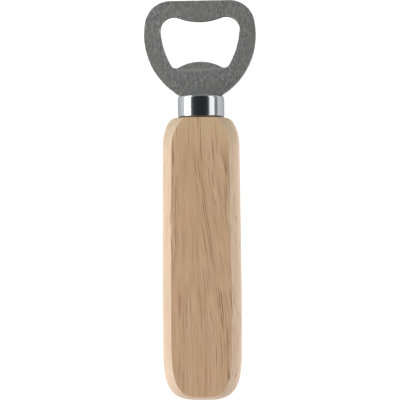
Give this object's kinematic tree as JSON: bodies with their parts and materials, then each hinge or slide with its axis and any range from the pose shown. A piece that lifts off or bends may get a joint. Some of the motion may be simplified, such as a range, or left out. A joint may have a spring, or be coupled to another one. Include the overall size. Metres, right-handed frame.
{
  "type": "bottle opener",
  "caption": "Bar-style bottle opener: flat steel head with a cap opening, plated ferrule and chamfered wooden handle.",
  "frame": {"origin": "middle of the footprint on the surface that the opener lies on, on its back", "axes": "+Y along the length from the handle's end towards the head, +Z out of the front face, +X to the right seen from the front with the head up"},
  "size_m": [0.0436, 0.155, 0.0185],
  "materials": {
    "brushed_plate": "fine brushed grain along the length, satin",
    "bright_plating": "polished",
    "hardwood": "sanded, thin matt sealer",
    "cured_epoxy": "cured, unseen"
  },
  "bodies": {
    "root": {"opener_head": "brushed_plate", "ferrule": "bright_plating", "handle": "hardwood", "tang_adhesive": "cured_epoxy"}
  },
  "joints": []
}
